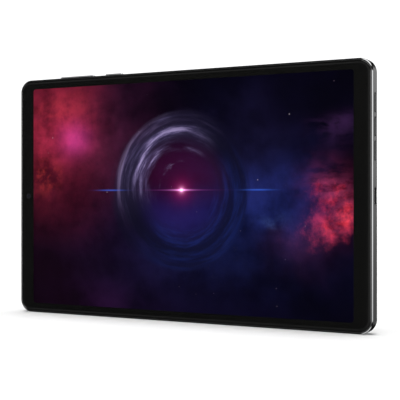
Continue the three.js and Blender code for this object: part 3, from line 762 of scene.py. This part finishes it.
def speaker_openings(side, up):
    middles = [MID_Z + up * SLOT_MID + i * SLOT_PITCH for i in (-1, 0, 1)]
    return [
        flared(
            lambda grow, z=z: around(FRONT_Y + SLOT_D, z, SLOT_W + 2 * grow, SLOT_L + 2 * grow, 9, 10),
            at_x, side * (EDGE_X - WALL - 1), side * EDGE_X, side, 0.04,
        )
        for z in middles
    ]


def key_opening(node):
    x, _ = middle(node)
    length = key_length(node)
    return flared(
        lambda grow: around(x, FRONT_Y + KEY_D, length + 2 * (KEY_GAP + grow), KEY_W + 2 * (KEY_GAP + grow), 9, 10),
        at_z, TOP_Z - WALL - 1, TOP_Z, 1, 0.1,
    )


def key_length(node):
    """A key's cap is shorter than its flange by a millimetre at each end."""
    low, high = span(node)
    return high[0] - low[0] - 2


def bump_outline(inset):
    low, high = span("camera_bump")
    radius = (high[2] - low[2]) / 2 - inset - 0.001
    return rounded(low[0] + inset, low[2] + inset, high[0] - inset, high[2] - inset, radius, 16)


def housing_part(name, x0, x1, add=(), take=()):
    part = combine(shell(), "INTERSECT", [slab(x0, x1)])
    part.name = name
    if add:
        join(part, *add)
    if take:
        cut(part, *take)
    return part


def finish_or_shade_of(polygon):
    """Which material a housing face has: 0 polished outside, 1 satin back, 2 near black on the walls of the openings
    and the cavity, which is painted shade.
    """
    x, y, z = (c / MM for c in polygon.center)
    d = y - FRONT_Y
    from_side = EDGE_X - abs(x)
    from_top = TOP_Z / 2 - abs(z - MID_Z)
    corner = math.hypot(max(CORNER_R - from_side, 0), max(CORNER_R - from_top, 0))
    inset = min(from_side, from_top) if min(from_side, from_top) > CORNER_R or corner < 1e-6 else CORNER_R - corner
    if d > THICK - 0.4 and polygon.normal.y > 0.9:
        return 1
    deep = 0.2 if d < THICK - BACK_ROUND else BACK_ROUND + 0.3
    # Faces set back from the outline, between the shoulder and the back, get the painted shade.
    return 2 if SHOULDER_D < d < THICK - 0.3 and inset > deep else 0


def make_housing():
    inner = BAND_X - BAND_W / 2
    outer = BAND_X + BAND_W / 2
    mic_x = middle("microphone")[0]
    mic_hole = skin("mic_hole", [at_z(around(mic_x, FRONT_Y + KEY_D, 0.9, 0.9, 0.449, 6), z) for z in (-1, WALL + 1)])
    bump_hole = skin("bump_hole", [at_depth(bump_outline(-0.1), d) for d in (FLOOR_D - 0.5, THICK + 1)])
    centre = housing_part(
        "housing_centre_shell", -inner, inner,
        [post(SCREWS[2]), post(SCREWS[3])],
        [post_hole(SCREWS[2]), post_hole(SCREWS[3]), key_opening("volume_rocker"), key_opening("power_button"), mic_hole, bump_hole],
    )
    mouth = flared(
        lambda grow: around(FRONT_Y + USB_D, MID_Z, MOUTH_W + 2 * grow, MOUTH_L + 2 * grow, 9, 12),
        at_x, EDGE_X - WALL - 1, EDGE_X, 1, 0.08,
    )
    seat_shape = around(FRONT_Y + USB_D, MID_Z, USB_W + 2 * PORT_GAP, USB_L + 2 * PORT_GAP, 9, 12)
    seat = skin("seat", [at_x(seat_shape, x) for x in (EDGE_X - WALL - 1, EDGE_X - MOUTH_T)])
    right = housing_part(
        "housing_right_shell", outer, EDGE_X + 1, [post(SCREWS[1])], [post_hole(SCREWS[1]), *speaker_openings(1, 1), mouth, seat]
    )
    face = skin("face", [at_x(around(FRONT_Y + CARD_D, FACE_Z, FACE_W + 0.2, FACE_L + 0.2, 9, 12), x) for x in (-EDGE_X - 1, -EDGE_X + FACE_T + 0.1)])
    pin = skin("pin", [at_x(around(FRONT_Y + CARD_D, PIN_Z, 1, 1, 0.499, 6), x) for x in (-EDGE_X - 1, -EDGE_X + WALL + 1)])
    way = skin("way", [at_x(rounded(FRONT_Y + 2.85, FACE_Z - 8.35, FRONT_Y + 4.25, FACE_Z + 5.35, 0.05, 2), x) for x in (-EDGE_X + 0.3, -EDGE_X + WALL + 1)])
    left = housing_part(
        "housing_left_shell", -EDGE_X - 1, -outer, [post(SCREWS[0])],
        [post_hole(SCREWS[0]), *speaker_openings(-1, -1), face, pin, way],
    )
    for part, node in ((centre, "housing_centre"), (left, "housing_end_left"), (right, "housing_end_right")):
        indices = [finish_or_shade_of(p) for p in part.data.polygons]
        place(part, [METAL, BACK_METAL, INSIDE_PAINTED_SHADE], replaces=[node])
        for polygon, index in zip(part.data.polygons, indices):
            polygon.material_index = index
    for side, word in ((-1, "left"), (1, "right")):
        ends = sorted((side * (inner + SEAM), side * (outer - SEAM)))
        band = housing_part(f"antenna_band_{word}_moulding", *ends)
        place(band, BAND, replaces=[f"antenna_band_{word}"])


# ---- Front ----
def make_glass():
    """The cover glass, its front edge curved. The window over the panel is clear and the rest has a black print behind it."""
    edge, curve_in, curve_d = 1.06, 1.44, 0.4
    window = around(0, MID_Z, ACTIVE_W, ACTIVE_H, ACTIVE_R)
    behind = around(0, MID_Z, ACTIVE_W + 1.8, ACTIVE_H + 1.8, ACTIVE_R + 0.9)
    rings = [at_depth(behind, 0.7), at_depth(tablet_outline(edge + 0.08), 0.7), at_depth(tablet_outline(edge), 0.62)]
    rings += [
        at_depth(tablet_outline(edge + curve_in * (1 - math.cos(a))), curve_d * (1 - math.sin(a))) for a in arc(12)
    ]
    rings.append(at_depth(window, 0))
    glass = skin("front_glass_sheet", rings)
    shade(glass)
    inside = ACTIVE_W / 2 * MM
    for polygon in glass.data.polygons:
        flat = all(abs(glass.data.vertices[v].co.x) < inside + 0.001 for v in polygon.vertices)
        polygon.material_index = 1 if flat and len(polygon.vertices) > 8 else 0
    indices = [p.material_index for p in glass.data.polygons]
    place(glass, [BORDER, WINDOW], replaces=["cover_glass"])
    for polygon, index in zip(glass.data.polygons, indices):
        polygon.material_index = index


def make_panel():
    low, high = span("lcd_panel")
    panel = block("display_panel", low[0], high[0], low[1] - FRONT_Y, high[1] - FRONT_Y, low[2], high[2], 1.0, 0.06)
    place(panel, SCREEN, replaces=["lcd_panel"])


# ---- Keys ----
def make_key(node, name, nibs):
    low, high = span(node)
    x, _ = middle(node)
    y = FRONT_Y + KEY_D
    length = key_length(node)
    soft = 0.22

    def ring(inset, z):
        return at_z(around(x, y, length - 2 * inset, KEY_W - 2 * inset, 9, 14), z)

    flange_z = low[2] + 0.15
    rings = [ring(0, flange_z + 0.1)]
    rings += [ring(soft * (1 - math.cos(a)), high[2] - soft * (1 - math.sin(a))) for a in arc(6)]
    key = skin(name, rings)
    flange = skin(
        "flange",
        [at_z(rounded(low[0] + i, low[1] + i, high[0] - i, high[1] - i, 0.3, 6), z)
         for i, z in ((0.05, flange_z), (0, flange_z + 0.06), (0, flange_z + 0.34), (0.05, flange_z + 0.4))],
    )
    studs = [
        skin("nib", [at_z(around(x + dx, y, 1.4 - 2 * i, 1.0 - 2 * i, 0.3, 6), z)
                     for i, z in ((0.1, flange_z - 0.15), (0, flange_z - 0.08), (0, flange_z + 0.15))])
        for dx in nibs
    ]
    join(key, flange, *studs)
    place(key, KEY_PAINTED_LIGHT, body=node, replaces=[node])


# ---- Right edge ----
def make_usb():
    low, high = span("usb_c_shell")
    y = FRONT_Y + USB_D
    wall = 0.3

    def ring(inset, x):
        return at_x(around(y, MID_Z, USB_W - 2 * inset, USB_L - 2 * inset, 9, 16), x)

    lip = 0.1
    outer = [ring(0, low[0]), ring(0, high[0] - lip), ring(lip * 0.4, high[0]), ring(wall - lip * 0.4, high[0])]
    inner = [ring(wall, high[0] - lip), ring(wall, low[0])]
    rings = outer + inner
    n = len(rings[0])
    faces = []
    for i in range(len(rings)):
        for j in range(n):
            k = (j + 1) % n
            m = (i + 1) % len(rings)
            faces.append([i * n + j, i * n + k, m * n + k, m * n + j])
    tube = mesh("usb_port_shell", [p for r in rings for p in r], faces)
    place(tube, STEEL, replaces=["usb_c_shell"])

    t_low, t_high = span("usb_c_tongue")
    plug = skin("usb_port_tongue", [ring(wall + 0.05, t_low[0]), ring(wall + 0.05, t_low[0] + 1.8)])
    blade = skin("blade", [
        at_x(around(y, MID_Z, 0.7 - 2 * i, 6.7 - 2 * i, 0.3, 6), x)
        for i, x in ((0, t_low[0] + 0.5), (0, t_high[0] - 0.2), (0.14, t_high[0]))
    ])
    join(plug, blade)
    place(plug, BLACK, replaces=["usb_c_tongue"])
    pads = []
    for side in (-1, 1):
        for i in range(12):
            z = MID_Z + (i - 5.5) * 0.5
            face = y + side * 0.35
            ends = sorted((face - side * 0.03, face + side * 0.03))
            pads.append(skin("pad", [at_x(rounded(ends[0], z - 0.12, ends[1], z + 0.12, 0.01, 2), x)
                                     for x in (t_low[0] + 2.2, t_high[0] - 0.7)]))
    contacts = merged("usb_port_contacts", pads)
    place(contacts, GOLD)


def make_speaker_mesh(word):
    low, high = span(f"speaker_mesh_{word}")
    y0, y1 = low[1], high[1]
    rings = [at_x(rounded(y0 + i, low[2] + i, y1 - i, high[2] - i, 0.5, 6), x)
             for i, x in ((0.06, low[0]), (0, low[0] + 0.08), (0, high[0] - 0.08), (0.06, high[0]))]
    place(skin(f"speaker_dust_mesh_{word}", rings), CLOTH, replaces=[f"speaker_mesh_{word}"])


# ---- Back ----
CAMERA_R, FLASH_R = 3.75, 1.85


def make_camera():
    low, high = span("camera_bump")
    back = high[1] - FRONT_Y
    front = low[1] - FRONT_Y
    cx, cz = middle("rear_camera_glass")
    fx, fz = middle("flash_lamp")
    soft = 0.45
    rings = [at_depth(bump_outline(0), front)]
    rings += [at_depth(bump_outline(soft * (1 - math.cos(a))), back - soft * (1 - math.sin(a))) for a in arc(8)]
    plate = skin("camera_surround", rings)
    hollow = skin("hollow", [at_depth(bump_outline(1.2), d) for d in (front - 1, back - 0.7)])
    cuts = [hollow]
    for x, z, r in ((cx, cz, CAMERA_R), (fx, fz, FLASH_R)):
        cuts.append(lathe("cut", x, z, [(r, back - 2.0), (r, back - 0.15), (r + 0.15, back), (r + 0.15, back + 1)], 64))
    cut(plate, *cuts)
    place(plate, METAL, replaces=["camera_bump"])

    g_low, g_high = (v - FRONT_Y for v in (span("rear_camera_glass")[0][1], span("rear_camera_glass")[1][1]))
    radius = CAMERA_R - 0.1
    cover = lathe("rear_camera_cover", cx, cz, [(radius, g_low), (radius, g_high - 0.08), (radius - 0.08, g_high)], 64)
    place(cover, LENS, replaces=["rear_camera_glass"])

    m_low, m_high = span("rear_camera_module")
    half = (m_high[0] - m_low[0]) / 2
    top = m_high[1] - FRONT_Y
    case = block("rear_camera_unit", cx - half, cx + half, m_low[1] - FRONT_Y, 6.8, cz - half, cz + half, 0.6)
    steps = [(3.0, 6.7), (3.0, top - 0.12), (2.9, top), (2.5, top), (2.35, top - 0.35), (2.0, top - 0.4),
             (1.9, top - 0.75), (1.45, top - 0.8), (1.4, top - 1.1), (0.01, top - 1.1)]
    join(case, lathe("barrel", cx, cz, steps, 64))
    place(case, BLACK, replaces=["rear_camera_module"])
    dome = [(1.35 * math.cos(a), top - 1.05 + 0.55 * math.sin(a)) for a in arc(8, 0, 88)]
    lens = lathe("rear_camera_lens", cx, cz, [(1.35, top - 1.08), *dome], 48)
    place(lens, LENS_FRONT)

    f_low, f_high = (v - FRONT_Y for v in (span("flash_lamp")[0][1], span("flash_lamp")[1][1]))
    lamp = lathe("flash_window", fx, fz, [(FLASH_R - 0.1, f_low), (FLASH_R - 0.1, f_high - 0.1), (FLASH_R - 0.2, f_high)], 48)
    place(lamp, LAMP, replaces=["flash_lamp"])


def coated_lens():
    """A dark lens with a violet and green coating."""
    made, tree, shader = new_material("coated_front_lens", Roughness=0.04, Coat_Weight=1.0, Coat_Roughness=0.02)
    facing = tree.nodes.new("ShaderNodeLayerWeight")
    facing.inputs["Blend"].default_value = 0.4
    tint = Maths(tree, facing.outputs["Facing"])
    vector, _ = position(tree)
    patch = noise(tree, vector, 0.8, detail=1)
    tree.links.new(mix(tree, tint * patch * 1.6, (0.012, 0.006, 0.03), (0.02, 0.07, 0.06)), shader.inputs["Base Color"])
    return made


LENS_FRONT = coated_lens()


# ---- Card tray ----
def make_tray():
    low, high = span("card_tray")
    y = FRONT_Y + CARD_D
    soft = 0.12
    face_rings = [at_x(around(y, FACE_Z, FACE_W - 2 * i, FACE_L - 2 * i, 9, 14), x)
                  for i, x in ((soft, low[0]), (soft * 0.3, low[0] + soft * 0.3), (0, low[0] + soft), (0, low[0] + FACE_T))]
    tray = skin("card_tray_drawer", face_rings)
    tz = FACE_Z - 1.5
    arm = block("arm", low[0] + FACE_T - 0.2, high[0], 3.2, 3.9, tz - 6.5, tz + 6.5, 0.8, 0.08)
    join(tray, arm)
    pocket = block("pocket", -101.2, -86.1, 2.9, 3.7, tz - 5.6, tz + 5.6, 0.6, 0.02)
    window = block("window", -97.5, -90, 3.0, 4.2, tz - 4.2, tz + 4.2, 0.6, 0.02)
    pin = skin("pin", [at_x(around(y, PIN_Z, 0.9, 0.9, 0.449, 8), x) for x in (low[0] - 1, low[0] + 2)])
    cut(tray, pocket, window, pin)
    place(tray, METAL, body="card_tray", replaces=["card_tray"])


# ---- Inside ----
def make_screw(node):
    """A pan head with a cross recess on a threaded shank."""
    x, z = middle(node)
    low, high = span(node)
    top, tip = low[1] - FRONT_Y, high[1] - FRONT_Y
    head = [(0.01, top), (1.25, top), (1.4, top + 0.12), (1.4, top + 0.25)]
    thread = [(0.58 - 0.12 * (i % 2), top + 0.25 + 0.1 * i) for i in range(18)]
    screw = lathe(f"{node}_turned", x, z, [*head, *thread, (0.2, tip)], 32)
    for dx, dz in ((0.8, 0.13), (0.13, 0.8)):
        cut(screw, block("recess", x - dx, x + dx, top - 0.2, top + 0.14, z - dz, z + dz, 0.05, 0.02))
    place(screw, STEEL, replaces=[node])


def make_battery(node):
    """A foil pouch with soft edges, and a thin terrace at its top end with the two tabs."""
    low, high = span(node)
    front, back = low[1] - FRONT_Y, high[1] - FRONT_Y
    soft, terrace = 0.7, 5.0
    curve = [(soft * (1 - math.sin(a)), soft * (1 - math.cos(a))) for a in arc(6)]
    profile = [(i, front + e) for i, e in curve] + [(i, back - e) for i, e in reversed(curve)]
    rings = [
        at_depth(rounded(low[0] + i, low[2] + i, high[0] - i, high[2] - terrace - i, 1.5 + soft - i, 8), d)
        for i, d in profile
    ]
    pouch = skin(f"{node}_pouch", rings)
    x, _ = middle(node)
    level = (front + back) / 2
    ledge = block("ledge", low[0] + 1, high[0] - 1, level - 0.2, level + 0.2, high[2] - 6, high[2] - 2, 0.5)
    tabs = [block("tab", x + dx - 3, x + dx + 3, level - 0.1, level + 0.1, high[2] - 3, high[2], 0.3) for dx in (-14, 14)]
    join(pouch, ledge, *tabs)
    place(pouch, FOIL, replaces=[node])


def make_shield(node):
    """A pressed steel can with rounded edges and rows of vent holes."""
    can = softened(node, 0.3)
    low, high = span(node)
    face = low[1] - FRONT_Y
    columns, rows = 4, int((high[2] - low[2]) / 4)
    holes = [
        lathe("hole", low[0] + (high[0] - low[0]) * (i + 0.5) / columns, low[2] + 2 + 4 * j, [(0.5, face - 1), (0.5, face + 0.5)], 16)
        for i in range(columns) for j in range(rows)
    ]
    cut(can, merged("holes", holes))
    place(can, STEEL, replaces=[node])


def make_board_parts():
    """Small chips and capacitors in rows on the main board's back, clear of the processor and the camera."""
    back = 5.78
    chips, capacitors = [], []
    for i in range(6):
        for j in range(25):
            x, z = -80.5 + 4 * i, 17 + 4 * j
            if (-79 < x < -61 and 63 < z < 85) or (x < -75 and z > 106):
                continue
            kind = (i * 5 + j * 3) % 4
            w, h, t = ((1.0, 0.5, 0.3), (0.5, 1.0, 0.3), (2.0, 2.0, 0.5), (1.2, 1.2, 0.4))[kind]
            part = block("part", x - w / 2, x + w / 2, back, back + t, z - h / 2, z + h / 2, 0.08, 0.05)
            (chips if kind > 1 else capacitors).append(part)
    place(merged("main_board_chips", chips), CHIP)
    place(merged("main_board_capacitors", capacitors), CERAMIC)


def make_driver(node):
    """A speaker driver: its frame, a rolled surround and a domed diaphragm."""
    x, z = middle(node)
    front = span(node)[0][1] - FRONT_Y
    driver = block(f"{node}_unit", x - 4.5, x + 4.5, front, front + 0.7, z - 8, z + 8, 1.0, 0.12)
    magnet = block("magnet", x - 3, x + 3, front + 0.5, front + 2.2, z - 5.5, z + 5.5, 0.8, 0.2)
    levels = [(0, 0.35), (0.25, 0.12), (0.5, 0.06), (0.75, 0.12), (1.0, 0.3), (1.3, 0.3), (2.2, 0.12), (3.0, 0.08)]
    cone = skin("cone", [at_depth(around(x, z, 7.4 - 2 * i, 14 - 2 * i, 3.6 - i, 10), front + d) for i, d in [(0, 0.4), *levels]])
    well = skin("well", [at_depth(around(x, z, 7.5, 14.1, 3.7, 10), d) for d in (front - 1, front + 0.38)])
    cut(driver, well)
    join(driver, magnet, cone)
    place(driver, STEEL, replaces=[node])


def make_dome(node):
    """A thin snap dome, where its CAD node is."""
    low, high = span(node)
    x, y = (low[0] + high[0]) / 2, (low[1] + high[1]) / 2
    radius, height, sheet = (high[0] - low[0]) / 2, high[2] - low[2], 0.08
    inner = [((radius - sheet) * math.sin(a) + 0.01, low[2] + (height - sheet) * math.cos(a)) for a in arc(8)]
    outer = [(radius * math.cos(a) + 0.01, low[2] + height * math.sin(a)) for a in arc(8)]
    dome = skin(f"{node}_cap", [at_z(around(x, y, 2 * r, 2 * r, r - 0.001, 8), z) for r, z in inner + outer])
    place(dome, STEEL, body=None, replaces=[node])
    x * MM
    y * MM
    low[2] * MM
    x * MM
    y * MM
    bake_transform(dome)


def make_leaf(node, side):
    """A bent leaf spring, from the motor's case to its weight."""
    low, high = span(node)
    case_x, weight_x = (low[0], high[0]) if side < 0 else (high[0], low[0])
    z, half, sheet = (low[2] + high[2]) / 2, (high[2] - low[2]) / 2, 0.24
    reach = weight_x - case_x
    stops = [(i / 12 - 1) for i in range(25)]
    bow = [(case_x + (reach + side * sheet) * (0.5 + 0.5 * math.cos(math.pi * t)), z + half * t) for t in stops]
    outline = bow + [(u - side * sheet, v) for u, v in reversed(bow)]
    leaf = skin(f"{node}_strip", [at_depth(outline, d) for d in (low[1] - FRONT_Y, high[1] - FRONT_Y)])
    place(leaf, STEEL, body=None, replaces=[node])
    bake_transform(leaf)


THIN_EDGES = {"tray_seal": 0.03, "backlight_tray": 0.05, "haptic_case": 0.1}
MOVED_WITH = {"haptic_weight": "haptic_weight", "tray_seal": "card_tray"}


def softened(node, width):
    """A new piece in a CAD node's shape, with its outward edges rounded by a width in millimetres."""
    bm = bmesh.new()
    bm.from_mesh(frame["nodes"][node].data)
    bmesh.ops.remove_doubles(bm, verts=bm.verts, dist=1e-7)
    bmesh.ops.recalc_face_normals(bm, faces=bm.faces)
    sharp = [e for e in bm.edges if e.is_manifold and e.calc_face_angle_signed() > math.radians(35)]
    bmesh.ops.bevel(bm, geom=sharp, offset=width * MM, segments=2, profile=0.5, affect="EDGES", clamp_overlap=True)
    data = bpy.data.meshes.new(node)
    bm.to_mesh(data)
    bm.free()
    piece = bpy.data.objects.new(f"{node}_rounded", data)
    bpy.context.scene.collection.objects.link(piece)
    return piece


def make_inside():
    for i in (1, 2, 3, 4):
        make_screw(f"mid_frame_screw_{i}")
    for word in ("left", "right"):
        make_battery(f"battery_cell_{word}")
        make_driver(f"speaker_driver_{word}")
    for word in ("processor", "power", "radio"):
        make_shield(f"{word}_shield")
    make_board_parts()
    make_dome("volume_up_dome")
    make_dome("volume_down_dome")
    make_dome("power_dome")
    make_leaf("haptic_spring_left", -1)
    make_leaf("haptic_spring_right", 1)
    for entry in frame["record"]["subparts"]:
        node, slot = entry["node"], entry["material_slot"]
        if frame["nodes"][node].hide_render:
            continue
        low, high = span(node)
        width = THIN_EDGES.get(node, min(0.15, 0.2 * min(b - a for a, b in zip(low, high))))
        place(softened(node, width), SLOT_MATERIALS[slot], body=MOVED_WITH.get(node, BODY), replaces=[node])


# ---- Stage, light and camera ----
def make_floor():
    size = 60000
    floor = mesh("floor", [(-size, -size, 0), (size, -size, 0), (size, size, 0), (-size, size, 0)], [[0, 1, 2, 3]])
    made, tree, shader = new_material("pale_floor", Base_Color=(0.9, 0.9, 0.9), Roughness=0.9, Specular_IOR_Level=0.0)
    floor.data.materials.append(made)
    floor.visible_glossy = False


def make_world():
    """White round the camera's view, soft white light on everything, and dark studio walls with bright cards in
    what shines."""
    world = bpy.data.worlds.new("studio")
    bpy.context.scene.world = world
    world.use_nodes = True
    tree = world.node_tree
    tree.nodes.clear()
    out = tree.nodes.new("ShaderNodeOutputWorld")
    rays = tree.nodes.new("ShaderNodeLightPath")
    direction = tree.nodes.new("ShaderNodeTexCoord")
    parts = tree.nodes.new("ShaderNodeSeparateXYZ")
    tree.links.new(direction.outputs["Generated"], parts.inputs[0])
    x, y, z = (Maths(tree, s) for s in parts.outputs)
    level = z.abs()
    backdrop = y.above(0.3, 0.7) * level.above(0.36, 0.24) * (z.above(-0.14, 0.14) * 0.42 + 0.2)
    right = x.above(0.4, 0.62) * level.above(0.31, 0.2) * y.above(0.55, 0.35) * (z.above(-0.16, -0.03) * 1.6 + 1.8)
    reach = y.abs() - z.above(-0.1, 0.1) * 0.25
    overhead = x.above(-0.25, 0.0) * level.above(0.55, 0.78) * reach.above(0.5, 0.1) * 5.0
    flag = y.above(0.1, 0.0) * x.above(-0.29, -0.33) * level.above(0.18, 0.145)
    front = y.above(0.3, 0.0) * level.above(0.5, 0.3) * (flag * -0.25 + 0.27)
    glossy = backdrop + right + overhead + front
    back = tree.nodes.new("ShaderNodeBackground")
    is_camera = Maths(tree, rays.outputs["Is Camera Ray"])
    is_glossy = Maths(tree, rays.outputs["Is Glossy Ray"])
    plain = is_camera * 0.85 + 0.35
    strength = plain * (is_glossy * -1.0 + 1.0) + glossy * is_glossy
    back.inputs["Color"].default_value = (1, 1, 1, 1)
    tree.links.new(strength.socket, back.inputs["Strength"])
    tree.links.new(back.outputs[0], out.inputs["Surface"])


def make_top_light():
    """A broad soft light from straight above, even over the whole floor."""
    data = bpy.data.lights.new("overhead_light", "SUN")
    data.energy = 2.85
    data.angle = math.radians(32)
    light = bpy.data.objects.new("overhead_light", data)
    bpy.context.scene.collection.objects.link(light)
    light.visible_glossy = False


def make_camera_view():
    """The viewpoint: level with the middle of the screen, to its right."""
    data = bpy.data.cameras.new("camera")
    data.sensor_width = 36
    data.lens = 92.93
    data.shift_y = -0.0099
    data.clip_start = 0.01
    data.clip_end = 200
    camera = bpy.data.objects.new("camera", data)
    bpy.context.scene.collection.objects.link(camera)
    camera.location = (0.2702, -0.4620, MID_Z * MM)
    camera.rotation_euler = (math.radians(90), 0, math.radians(29.4))
    bpy.context.scene.camera = camera


make_camera_view()
make_world()
make_floor()
make_top_light()
bpy.context.scene.view_settings.view_transform = "Standard"

make_housing()
make_glass()
make_panel()
make_key("volume_rocker", "volume_rocker_cap", (-7.5, 7.5))
make_key("power_button", "power_button_cap", (0,))
make_usb()
make_speaker_mesh("left")
make_speaker_mesh("right")
make_camera()
make_tray()
make_inside()
